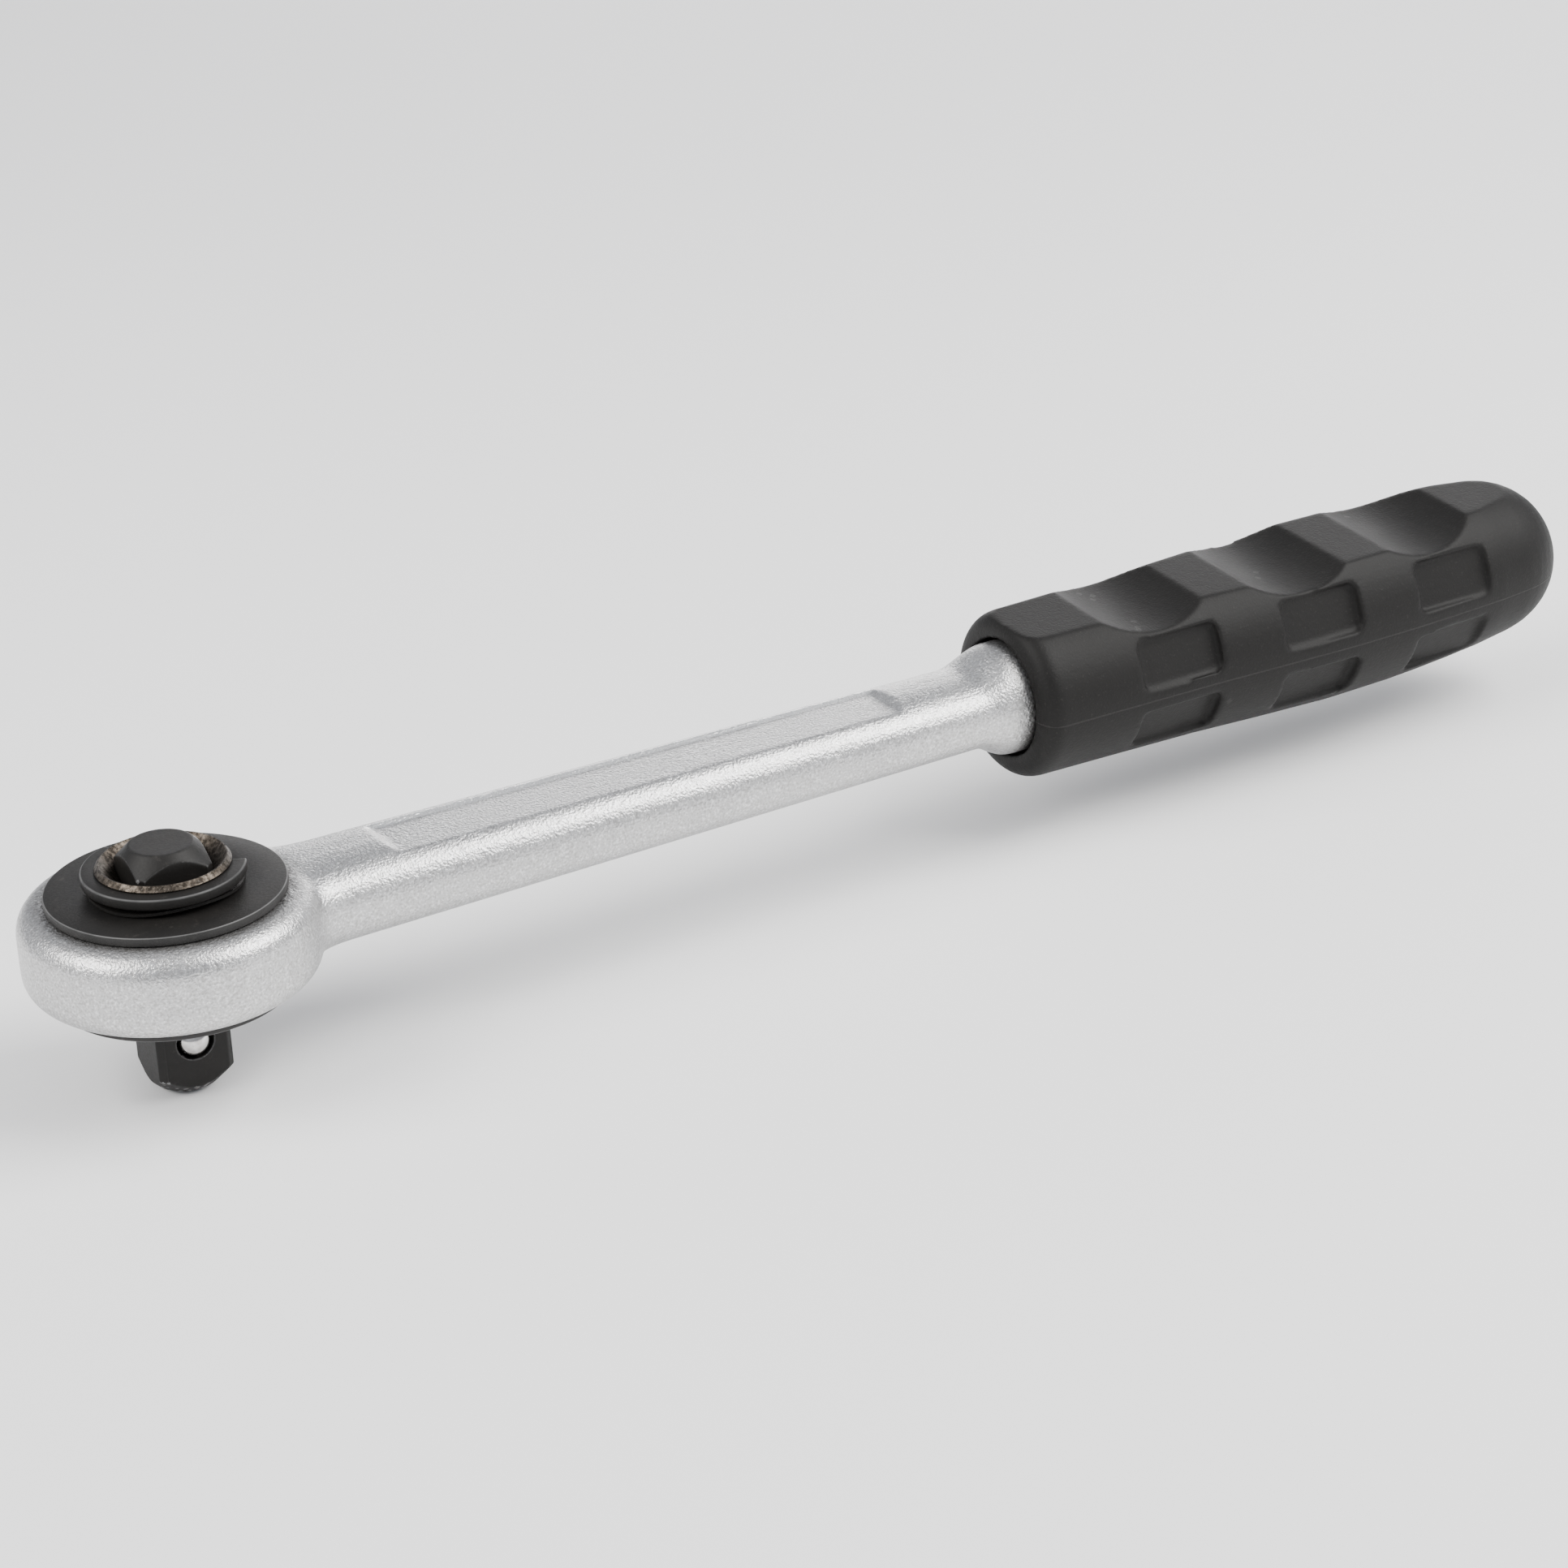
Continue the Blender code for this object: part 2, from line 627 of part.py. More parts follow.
def make_ball(name, height):
    bm = bmesh.new()
    bmesh.ops.create_uvsphere(bm, u_segments=20, v_segments=12, radius=BALL_RADIUS)
    ball = add_object(name, mesh_from(bm, name), BRIGHT_STEEL)
    x, y = polar(BALL_CENTRE, BALL_SIDE)
    ball.location = (x, y, height)
    smooth(ball)
    return ball


def make_coil(name, radius, wire, turns, length):
    """A coil spring made along +Z from the origin, as a mesh."""
    curve = bpy.data.curves.new(name, "CURVE")
    curve.dimensions = "3D"
    curve.bevel_depth = wire / 2
    curve.bevel_resolution = 2
    curve.use_fill_caps = True
    spline = curve.splines.new("POLY")
    per_turn = 12
    count = turns * per_turn + 1
    spline.points.add(count - 1)
    for i in range(count):
        angle = 2 * math.pi * i / per_turn
        x, y = polar(radius, angle)
        z = wire / 2 + (length - wire) * i / (count - 1)
        spline.points[i].co = (x, y, z, 1.0)
    holder = bpy.data.objects.new(f"{name}_wire", curve)
    bpy.context.scene.collection.objects.link(holder)
    evaluated = holder.evaluated_get(bpy.context.evaluated_depsgraph_get())
    mesh = bpy.data.meshes.new_from_object(evaluated)
    bpy.data.objects.remove(holder, do_unlink=True)
    bpy.data.curves.remove(curve)
    bm = bmesh.new()
    bm.from_mesh(mesh)
    bmesh.ops.remove_doubles(bm, verts=bm.verts, dist=0.00001)
    bm.to_mesh(mesh)
    bm.free()
    mesh.name = name
    return add_object(name, mesh, SPRING_STEEL)


def make_ball_spring(name, height):
    start = BALL_BORE_END + REST_GAP
    end = BALL_CENTRE - BALL_RADIUS - BALL_GAP
    spring = make_coil(name, BALL_SPRING_RADIUS, BALL_SPRING_WIRE, BALL_SPRING_TURNS, end - start)
    spring.data.transform(Matrix.Translation((0.0, 0.0, start)))
    place_on_ball_axis(spring, height)
    smooth(spring)
    return spring


# ---- pawl and its spring ------------------------------------------------------
def make_pawl():
    front = TOOTH_ROOT - CUT
    pawl = box(
        "pawl",
        (front, -PAWL_WIDTH / 2, -PAWL_HEIGHT / 2),
        (PAWL_BACK_X, PAWL_WIDTH / 2, PAWL_HEIGHT / 2),
        TOOL_STEEL,
    )
    wheel_space = prism(
        "pawl_tooth_form",
        tooth_outline(TOOTH_ROOT + TOOTH_GAP, TOOTH_TIP + TOOTH_GAP),
        -PAWL_HEIGHT,
        PAWL_HEIGHT,
    )
    turn_mesh(wheel_space, TOOTH_LASH)
    wheel_space.location.z = HEAD_MID_Z
    boolean(pawl, wheel_space)
    seat_radius = PAWL_SPRING_RADIUS + PAWL_SPRING_WIRE / 2 + RUN_GAP
    seat = cylinder("pawl_spring_seat", seat_radius, -PAWL_SPRING_SEAT, CUT, sides=24)
    turn_mesh(seat, math.pi / 2, "Y")
    seat.location = (PAWL_BACK_X, 0.0, HEAD_MID_Z)
    boolean(pawl, seat)
    pawl.location.z = HEAD_MID_Z
    smooth(pawl)
    return pawl


def make_pawl_spring():
    start = PAWL_BACK_X - PAWL_SPRING_SEAT + REST_GAP
    end = PAWL_BACK_X + PAWL_TRAVEL + RUN_GAP + PAWL_SPRING_HOLE - REST_GAP
    spring = make_coil("pawl_spring", PAWL_SPRING_RADIUS, PAWL_SPRING_WIRE, PAWL_SPRING_TURNS, end - start)
    turn_mesh(spring, math.pi / 2, "Y")
    spring.location = (start, 0.0, HEAD_MID_Z)
    smooth(spring)
    return spring


# ---- grip ---------------------------------------------------------------------
def grip_form(place):
    """Radius and rise of the barrel at a place along the grip."""
    share = place / GRIP_LENGTH
    for near, far in zip(GRIP_FORM, GRIP_FORM[1:]):
        if share <= far[0]:
            part = (share - near[0]) / (far[0] - near[0])
            return [near[i] + (far[i] - near[i]) * part for i in (1, 2)]
    return GRIP_FORM[-1][1:]


def make_barrel():
    """The grip's outside before the flat and the pockets: rounded front, domed rear end."""
    rounds = []
    steps = 5
    for i in range(steps + 1):
        angle = math.pi / 2 * (1 - i / steps)
        rounds.append((GRIP_FRONT_EDGE * (1 - math.sin(angle)), GRIP_FRONT_EDGE * (1 - math.cos(angle))))
    dome_start = GRIP_LENGTH - GRIP_DOME_LENGTH
    for share, radius, rise in GRIP_FORM:
        if GRIP_FRONT_EDGE < share * GRIP_LENGTH < dome_start:
            rounds.append((share * GRIP_LENGTH, 0.0))
    steps = 8
    for i in range(steps + 1):
        angle = math.pi / 2 * i / steps
        place = dome_start + GRIP_DOME_LENGTH * math.sin(angle)
        rounds.append((place, GRIP_DOME_DROP * (1 - math.cos(angle))))
    sections = []
    for place, drop in rounds:
        radius, rise = grip_form(place)
        sections.append(oval_section(place, 2 * (radius - drop), 2 * (radius - drop), 2.0, rise, 64))
    barrel = loft("grip", sections, BLACK_PLASTIC)
    turn_mesh(barrel, GRIP_TURN, "X")
    barrel.location = (GRIP_START, 0.0, HEAD_MID_Z)
    return barrel


def make_grip_bore():
    """The mouth round the collar and the blind bore round the tang."""
    mouth = COLLAR_RADIUS + 2 * RUN_GAP
    bore = TANG_RADIUS + RUN_GAP
    depth = COLLAR_END - GRIP_START + RUN_GAP
    bore_end = COLLAR_END + TANG_LENGTH - GRIP_START + RUN_GAP
    profile = [(0.0, bore_end), (bore, bore_end), (bore, depth), (mouth, depth), (mouth, -CUT), (0.0, -CUT)]
    cutter = turned("grip_bore", profile)
    cutter.rotation_euler.y = math.pi / 2
    cutter.location = (GRIP_START, 0.0, HEAD_MID_Z)
    return cutter


def make_top_form():
    """What is cut off the barrel: everything above the flat top and its three scallops."""
    swing = (SCALLOP_LENGTH**2 / 4 + SCALLOP_DEPTH**2) / (2 * SCALLOP_DEPTH)
    reach = math.asin(SCALLOP_LENGTH / 2 / swing)
    steps = 12
    outline = [(-CUT, GRIP_FLAT)]
    for scallop in range(SCALLOP_COUNT):
        middle = SCALLOP_FIRST + SCALLOP_PITCH * scallop
        heel = GRIP_HEEL if scallop == SCALLOP_COUNT - 1 else 0.0
        for i in range(steps + 1):
            angle = reach * (2 * i / steps - 1)
            rise = swing * (1 - math.cos(angle)) - SCALLOP_DEPTH + heel * i / steps
            outline.append((middle + swing * math.sin(angle), GRIP_FLAT + rise))
    outline.append((GRIP_LENGTH + CUT, GRIP_FLAT + GRIP_HEEL))
    outline.append((GRIP_LENGTH + CUT, GRIP_FLAT + 3 * CUT))
    outline.append((-CUT, GRIP_FLAT + 3 * CUT))
    half = GRIP_FLAT + CUT
    form = prism("grip_top_form", outline, -half, half)
    turn_mesh(form, math.pi / 2 + GRIP_TURN, "X")
    form.location = (GRIP_START, 0.0, HEAD_MID_Z)
    return form


def make_pocket(name, place, side, row):
    """A shallow pocket with rounded corners, on the near (1) or far (-1) side of the grip."""
    half_x = POCKET_LENGTH / 2 - POCKET_CORNER
    half_y = POCKET_HEIGHT / 2 - POCKET_CORNER
    outline = []
    corners = ((half_x, half_y), (-half_x, half_y), (-half_x, -half_y), (half_x, -half_y))
    for quarter, (x, y) in enumerate(corners):
        start = quarter * math.pi / 2
        outline += [(x + dx, y + dy) for dx, dy in arc(POCKET_CORNER, start, start + math.pi / 2, 4)]
    surface = grip_form(place)[0]
    pocket = prism(name, outline, surface - POCKET_DEPTH, surface + CUT)
    turn_mesh(pocket, side * (math.pi / 2 - row * POCKET_LEAN) + GRIP_TURN, "X")
    pocket.location = (GRIP_START + place, 0.0, HEAD_MID_Z)
    return pocket


def make_grip():
    grip = make_barrel()
    boolean(grip, make_grip_bore())
    boolean(grip, make_top_form())
    for row_name, row in (("upper", 1), ("lower", -1)):
        for side_name, side in (("near", 1), ("far", -1)):
            for i in range(POCKET_COUNT):
                place = POCKET_FIRST + POCKET_PITCH * i
                boolean(grip, make_pocket(f"pocket_{row_name}_{side_name}_{i + 1}", place, side, row))
    reach = PIN_HALF_LENGTH + RUN_GAP
    pin_hole = cylinder("grip_pin_hole", PIN_RADIUS + RUN_GAP, -reach, reach, sides=24)
    turn_mesh(pin_hole, math.pi / 2 + GRIP_TURN, "X")
    pin_hole.location = (GRIP_START + PIN_FROM_FRONT, 0.0, HEAD_MID_Z)
    boolean(grip, pin_hole)
    smooth(grip)
    return grip


def make_pin():
    pin = cylinder("tang_pin", PIN_RADIUS, -PIN_HALF_LENGTH, PIN_HALF_LENGTH, TOOL_STEEL, sides=24)
    turn_mesh(pin, math.pi / 2 + GRIP_TURN, "X")
    bevel(pin, PIN_EDGE, 1)
    pin.location = (GRIP_START + PIN_FROM_FRONT, 0.0, HEAD_MID_Z)
    smooth(pin)
    return pin


# ---- the assembly -------------------------------------------------------------
make_body()
make_wheel()
for side_name, side in (("top", 1), ("bottom", -1)):
    make_disc(f"cover_disc_{side_name}", side)
    make_ring(f"snap_ring_{side_name}", side)
make_washer()
make_drive()
for end_name, height in (("lower", BALL_FROM_END), ("upper", DRIVE_LENGTH - BALL_FROM_END)):
    make_ball(f"ball_{end_name}", height)
    make_ball_spring(f"ball_spring_{end_name}", height)
make_pawl()
make_pawl_spring()
make_grip()
make_pin()
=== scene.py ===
# %% [markdown]
# # Ratchet wrench
# A push-through ratchet: a round forged head with a black square drive through its wheel, a satin
# chrome shank and a moulded black grip. The CAD model gives every size and place. This lesson builds
# the looks on top of it: finer shapes for what shows, and a procedural finish for every piece.

# %% Load the frame
import json
import math
import bpy
from mathutils import Matrix, Vector


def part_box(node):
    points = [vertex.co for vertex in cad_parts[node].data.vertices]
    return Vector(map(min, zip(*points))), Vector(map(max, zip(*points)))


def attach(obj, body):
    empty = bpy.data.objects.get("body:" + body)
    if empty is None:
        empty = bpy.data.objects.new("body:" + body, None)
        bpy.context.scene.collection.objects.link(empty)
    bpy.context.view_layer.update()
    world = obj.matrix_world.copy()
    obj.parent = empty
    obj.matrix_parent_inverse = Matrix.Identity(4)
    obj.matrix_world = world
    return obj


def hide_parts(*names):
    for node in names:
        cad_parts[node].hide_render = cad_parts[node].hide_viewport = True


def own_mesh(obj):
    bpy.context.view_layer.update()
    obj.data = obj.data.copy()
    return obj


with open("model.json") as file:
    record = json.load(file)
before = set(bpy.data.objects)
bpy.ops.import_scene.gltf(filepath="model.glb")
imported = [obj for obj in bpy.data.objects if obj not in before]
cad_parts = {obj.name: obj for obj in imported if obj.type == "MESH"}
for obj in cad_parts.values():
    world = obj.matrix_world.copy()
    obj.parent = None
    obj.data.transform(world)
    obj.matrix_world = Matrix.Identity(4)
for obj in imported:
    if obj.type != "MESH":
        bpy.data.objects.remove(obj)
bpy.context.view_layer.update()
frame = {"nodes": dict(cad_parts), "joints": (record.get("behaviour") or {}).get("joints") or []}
nodes = frame["nodes"]
MM = 0.001

# %% [markdown]
# ## Places taken from the CAD
# Everything is measured from the CAD pieces' boxes, so the looks stay in step with the model. The
# drive's axis is the Z axis through the origin, and the handle's axis runs along X at the head's
# middle height. What a box can't give, such as the hub's radius, the opening of the snap rings, the
# ends of the shank's panel and the grip's small turn, repeats the CAD's own sizes.


# %% Measure the CAD pieces
def corners_of(name):
    """Lowest and highest corner of a CAD piece, as vectors."""
    low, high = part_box(name)
    return Vector(low), Vector(high)


body_low, body_high = corners_of("forged_body")
disc_low, disc_high = corners_of("cover_disc_top")
ring_low, ring_high = corners_of("snap_ring_top")
grip_low = corners_of("grip")[0]

MID_Z = (body_low.z + body_high.z) / 2
HEAD_RADIUS = -body_low.x
DISC_RADIUS = (disc_high.x - disc_low.x) / 2
RING_RADIUS = -ring_low.y      # the ring is whole on its near side
HUB_RADIUS = 10.9 * MM
RING_INNER = HUB_RADIUS - 0.6 * MM
RING_START = math.radians(112.0)
RING_SPAN = math.radians(223.0)
GRIP_TURN = math.radians(4.6)
COLLAR_START = grip_low.x - 0.9 * MM
PANEL_START = HEAD_RADIUS + 13.8 * MM
PANEL_END = COLLAR_START - 24.5 * MM
PANEL_WALL = 4.6 * MM          # how far the panel's far wall is from the shank's middle line
print("middle height", round(MID_Z / MM, 2), "disc", round(DISC_RADIUS / MM, 2))

# %% [markdown]
# ## Working by hand, in code
# The operators act on what is selected, as they do under a maker's mouse. So each piece starts from
# nothing selected, and faces are picked by where they are or the way they point.


# %% Helpers for selecting and finishing
def select_nothing():
    """Leaves object mode with nothing selected."""
    if bpy.context.object and bpy.context.object.mode != "OBJECT":
        bpy.ops.object.mode_set(mode="OBJECT")
    bpy.ops.object.select_all(action="DESELECT")


def pick(piece):
    """Makes one piece the only one selected, and active."""
    select_nothing()
    piece.select_set(True)
    bpy.context.view_layer.objects.active = piece


def name_new(name):
    """Names the primitive that was just added, and its mesh."""
    piece = bpy.context.object
    piece.name = name
    piece.data.name = name
    return piece


def pick_faces(piece, wanted):
    """Selects the faces whose centre and normal pass a test, and leaves the piece in edit mode."""
    bpy.ops.object.mode_set(mode="EDIT")
    bpy.ops.mesh.select_mode(type="FACE")
    bpy.ops.mesh.select_all(action="DESELECT")
    bpy.ops.object.mode_set(mode="OBJECT")
    for face in piece.data.polygons:
        face.select = bool(wanted(piece.matrix_world @ face.center, face.normal))
    bpy.ops.object.mode_set(mode="EDIT")


def modify(piece, kind, **settings):
    """Adds a modifier, gives it its settings and applies it."""
    pick(piece)
    modifier = piece.modifiers.new(kind.lower(), kind)
    for key, value in settings.items():
        setattr(modifier, key, value)
    bpy.ops.object.modifier_apply(modifier=modifier.name)


SAME_POINT = 0.002 * MM        # corners closer than this are one corner


def settle(piece, angle=40):
    """Puts a piece's place in its mesh, turns its faces outwards and shades it smooth."""
    pick(piece)
    bpy.ops.object.transform_apply(location=True, rotation=True, scale=True)
    bpy.ops.object.mode_set(mode="EDIT")
    bpy.ops.mesh.select_all(action="SELECT")
    bpy.ops.mesh.remove_doubles(threshold=SAME_POINT)
    bpy.ops.mesh.normals_make_consistent(inside=False)
    bpy.ops.object.mode_set(mode="OBJECT")
    bpy.ops.object.shade_smooth_by_angle(angle=math.radians(angle))
    piece.data.materials.clear()
    box = [piece.matrix_world @ Vector(corner) for corner in piece.bound_box]
    size = [round((max(c[i] for c in box) - min(c[i] for c in box)) / MM, 2) for i in range(3)]
    print(piece.name, "is", size, "mm with", len(piece.data.polygons), "faces")
    return piece


def merged_copy(node_name, name):
    """A copy of a CAD piece with its own mesh and its loose triangles merged."""
    piece = nodes[node_name].copy()
    piece.data = nodes[node_name].data.copy()
    piece.name = name
    piece.data.name = name
    piece.parent = None
    piece.matrix_world = Matrix.Identity(4)
    bpy.context.scene.collection.objects.link(piece)
    piece.hide_set(False)
    pick(piece)
    bpy.ops.object.mode_set(mode="EDIT")
    bpy.ops.mesh.select_all(action="SELECT")
    bpy.ops.mesh.remove_doubles(threshold=SAME_POINT)
    bpy.ops.object.mode_set(mode="OBJECT")
    return piece


# %% [markdown]
# ## Camera
# The tool lies across the view, head to the near left and grip to the far right, seen from about
# 24 degrees above. A long lens keeps the handle nearly parallel, as in a catalogue picture.

# %% Set the camera
camera_data = bpy.data.cameras.new("view")
camera_data.sensor_width = 36.0
camera_data.lens = 85.71        # in millimetres, as is the sensor
camera_data.clip_start = 0.01
camera = bpy.data.objects.new("view", camera_data)
bpy.context.scene.collection.objects.link(camera)
right = Vector((0.84830137, -0.52824285, -0.03666443))
up = Vector((0.24629789, 0.33233633, 0.91043391))
back = Vector((-0.46874529, -0.78135270, 0.41202647))
turn = Matrix((right, up, back)).transposed().to_4x4()
camera.matrix_world = Matrix.Translation((-0.190767, -0.510195, 0.290031)) @ turn
bpy.context.scene.camera = camera
print("lens", camera_data.lens, "mm")

# %% [markdown]
# ## Floor and light
# A plain pale floor lies just under the drive. Satin metal shows its lights as soft bands, so the
# lights are large. Two broad panels hang left and right overhead, with a gap between them that leaves
# a darker touch on the middle of the head's rounding. The surroundings stay a soft grey, so that the
# flat tops read darker than the roundings. A low panel behind the grip skims its finger scallops.


# %% Build the studio
FLOOR_SIZE = 6.0
FLOOR_DROP = 0.8 * MM


def soft_panel(name, place, target, size, power, colour):
    """A large area light facing a point."""
    data = bpy.data.lights.new(name, "AREA")
    data.shape = "RECTANGLE"
    data.size, data.size_y = size
    data.energy = power
    data.color = colour
    panel = bpy.data.objects.new(name, data)
    panel.location = place
    panel.visible_camera = False
    panel.rotation_euler = (Vector(target) - Vector(place)).to_track_quat("-Z", "Y").to_euler()
    bpy.context.scene.collection.objects.link(panel)
    return panel


middle = (0.13, 0.0, 0.02)
soft_panel("right_panel", (0.75, -0.45, 0.85), middle,
           size=(0.9, 0.8), power=24.0, colour=(1.0, 0.99, 0.97))
soft_panel("left_panel", (-0.75, 0.05, 0.75), middle,
           size=(0.7, 0.7), power=14.0, colour=(1.0, 0.985, 0.96))
soft_panel("far_panel", (0.95, 1.10, 0.32), middle,
           size=(1.0, 0.35), power=7.0, colour=(1.0, 0.98, 0.97))
world = bpy.data.worlds.new("studio")
world.use_nodes = True
world.node_tree.nodes["Background"].inputs["Color"].default_value = (0.90, 0.93, 1.0, 1)
world.node_tree.nodes["Background"].inputs["Strength"].default_value = 0.62
bpy.context.scene.world = world
select_nothing()
bpy.ops.mesh.primitive_plane_add(size=FLOOR_SIZE, location=(middle[0], middle[1], -FLOOR_DROP))
floor = name_new("floor")
print("floor at", round(floor.location.z / MM, 2), "mm")

# %% [markdown]
# ## Shader maths
# A finish is easier to read as sums than as a wall of nodes. This small class wraps a socket, so
# that `1 - mask` or `a * b` adds the Math node for it. Colours are mixed with the Mix node.


# %% A socket that does sums
class Sum:
    """A number in a finish's node tree; sums on it add Math nodes."""

    def __init__(self, finish, socket):
        self.finish = finish
        self.socket = socket

    def maths(self, operation, *values):
        return self.finish.node("ShaderNodeMath", {"operation": operation}, dict(enumerate(values)))

    def __add__(self, other):
        return self.maths("ADD", self, other)

    def __radd__(self, other):
        return self.maths("ADD", other, self)

    def __sub__(self, other):
        return self.maths("SUBTRACT", self, other)

    def __rsub__(self, other):
        return self.maths("SUBTRACT", other, self)

    def __mul__(self, other):
        return self.maths("MULTIPLY", self, other)

    def __rmul__(self, other):
        return self.maths("MULTIPLY", other, self)

    def __abs__(self):
        return self.maths("ABSOLUTE", self)


# %% A finish with its node tree
class Finish:
    """A material and the few moves that every finish needs."""

    def __init__(self, name):
        self.material = bpy.data.materials.new(name)
        self.material.use_nodes = True
        self.tree = self.material.node_tree
        self.shader = self.tree.nodes["Principled BSDF"]
        texture = self.tree.nodes.new("ShaderNodeTexCoord")
        self.place = Sum(self, texture.outputs["Object"])

    def node(self, kind, settings, inputs, output=0):
        """Adds a node, with its settings first, then its sockets' values or links."""
        node = self.tree.nodes.new(kind)
        for key, value in settings.items():
            if key == "stops":
                ramp = node.color_ramp
                while len(ramp.elements) < len(value):
                    ramp.elements.new(0.5)
                for element, (at, shade) in zip(ramp.elements, value):
                    element.position = at
                    element.color = (shade, shade, shade, 1)
            else:
                setattr(node, key, value)
        for key, value in inputs.items():
            if isinstance(value, Sum):
                self.tree.links.new(value.socket, node.inputs[key])
            else:
                node.inputs[key].default_value = value
        return Sum(self, node.outputs[output])

    def noise(self, size, detail=2.0, roughness=0.5, place=None):
        """Soft noise whose features are about `size` metres across."""
        inputs = {"Vector": place or self.place, "Scale": 1 / size}
        inputs.update({"Detail": detail, "Roughness": roughness})
        return self.node("ShaderNodeTexNoise", {}, inputs)

    def between(self, value, low, high, to_low=0.0, to_high=1.0):
        """Eases a value from one range into another, and holds it there."""
        inputs = {"Value": value, 1: low, 2: high, 3: to_low, 4: to_high}
        settings = {"interpolation_type": "SMOOTHSTEP"}
        return self.node("ShaderNodeMapRange", settings, inputs)

    def blend(self, share, first, second):
        """A colour between two colours."""
        settings = {"data_type": "RGBA"}
        return self.node("ShaderNodeMix", settings, {0: share, 6: first, 7: second}, output=2)

    def axis(self, index, place=None):
        """One coordinate of a place."""
        return self.node("ShaderNodeSeparateXYZ", {}, {0: place or self.place}, output=index)

    def radius(self):
        """Distance from the drive's axis."""
        flat = self.node("ShaderNodeVectorMath", {"operation": "MULTIPLY"}, {0: self.place, 1: (1, 1, 0)})
        return self.node("ShaderNodeVectorMath", {"operation": "LENGTH"}, {0: flat}, output=1)

    def edges(self, low=0.52, high=0.6):
        """Where the surface bends outwards, as at a worn edge."""
        geometry = self.tree.nodes.new("ShaderNodeNewGeometry")
        return self.between(Sum(self, geometry.outputs["Pointiness"]), low, high)

    def fill(self, colour=None, roughness=None, metallic=None, height=None, depth=0.00002, strength=1.0):
        """Feeds the shader: colour, roughness, metal and the bump's height."""
        for name, value in (("Base Color", colour), ("Roughness", roughness), ("Metallic", metallic)):
            if isinstance(value, Sum):
                self.tree.links.new(value.socket, self.shader.inputs[name])
            elif value is not None:
                self.shader.inputs[name].default_value = value
        if height is not None:
            inputs = {"Height": height, "Distance": depth, "Strength": strength}
            bump = self.node("ShaderNodeBump", {}, inputs)
            self.tree.links.new(bump.socket, self.shader.inputs["Normal"])
        return self.material


# %% [markdown]
# ## Floor finish
# The floor is painted board: nearly white, with a trace of cloudiness so that it isn't a dead flat
# colour. It stays rough so that no mirror image of the tool shows in it.

# %% Paint the floor
board = Finish("pale_board")
clouds = board.noise(0.25, detail=3.0)
board_colour = board.blend(clouds, (0.89, 0.89, 0.89, 1), (0.93, 0.93, 0.93, 1))
floor.data.materials.append(board.fill(board_colour, 0.8, 0.0, board.noise(0.002), 0.00001))
print("painted the floor")

# %% [markdown]
# ## Satin chrome
# The forging is blasted and chromed: the blasting leaves a fine grain that breaks a reflection into
# tiny glints, and the chrome over it is pale grey. The grain is a bump of two sizes, because one size
# alone looks like printed noise. Glints are also painted into the colour as bright specks, a painted
# highlight. Edges rub smoother and brighter. A speckled darker band is painted on the head's top round
# the cover disc, a painted shadow and painted reflection of the black disc, and another where the
# collar goes into the grip, a painted shade. The far wall of the shank's panel is painted near white,
# a painted highlight for the overhead light that it reflects.

# %% Mix the satin chrome
chrome = Finish("satin_chrome_finish")
coarse = chrome.noise(0.0010, detail=3.0, roughness=0.6)
fine = chrome.noise(0.00042, detail=1.0, roughness=0.5)
patches = chrome.noise(0.018, detail=4.0)
# Painted highlight: bright specks painted into the colour as the grain's glints.
glints = chrome.between(fine, 0.55, 0.68)
rubbed = chrome.edges(0.505, 0.56)
away = chrome.radius()
height_up = chrome.axis(2)
along = chrome.axis(0)
# Painted shade: a speckled darker band on the head's top round the cover disc, for the disc's shadow and
# its dark reflection, and another where the collar goes into the grip.
disc_shadow_band = chrome.between(away, DISC_RADIUS - 0.5 * MM, DISC_RADIUS + 4.0 * MM, 1.0, 0.0)
on_top = chrome.between(height_up, disc_low.z - 2.8 * MM, disc_low.z - 0.8 * MM)
collar_shade_band = chrome.between(along, COLLAR_START - 4.0 * MM, COLLAR_START + 0.6 * MM)
speckle = chrome.between(chrome.noise(0.0007, detail=3.0, roughness=0.7), 0.38, 0.66, 1.0, 0.35)
speckled_painted_shade = (disc_shadow_band * on_top + collar_shade_band * 0.6) * speckle
# Painted highlight: the far wall of the shank's panel is painted near white for the overhead light it
# reflects.
from_wall = abs(chrome.axis(1) - PANEL_WALL)
painted_wall_highlight = chrome.between(from_wall, 0.4 * MM, 0.9 * MM, 1.0, 0.0)
painted_wall_highlight = painted_wall_highlight * chrome.between(along, PANEL_START - 1.2 * MM, PANEL_START - 0.2 * MM)
painted_wall_highlight = painted_wall_highlight * chrome.between(along, PANEL_END, PANEL_END + 1.2 * MM, 1.0, 0.0)
painted_wall_highlight = painted_wall_highlight * chrome.between(height_up, MID_Z + 4.0 * MM, MID_Z + 5.0 * MM)
pits = chrome.between(fine, 0.34, 0.46, 1.0, 0.0)
chrome_base = chrome.blend(patches, (0.47, 0.468, 0.47, 1), (0.60, 0.595, 0.59, 1))
chrome_base = chrome.blend(pits * 0.5, chrome_base, (0.30, 0.29, 0.28, 1))
chrome_base = chrome.blend(glints * 0.55, chrome_base, (0.86, 0.86, 0.86, 1))
chrome_base = chrome.blend(rubbed * 0.35, chrome_base, (0.80, 0.80, 0.79, 1))
chrome_base = chrome.blend(painted_wall_highlight * 0.8, chrome_base, (0.97, 0.97, 0.96, 1))
chrome_base = chrome.blend(speckled_painted_shade * 0.92, chrome_base, (0.10, 0.095, 0.09, 1))
chrome_rough = 0.27 + patches * 0.08 + coarse * 0.12 - rubbed * 0.06 + speckled_painted_shade * 0.2
satin_chrome = chrome.fill(chrome_base, chrome_rough, 1.0, coarse * 0.45 + fine * 0.55, 0.00022, 1.0)
print("mixed", satin_chrome.name)
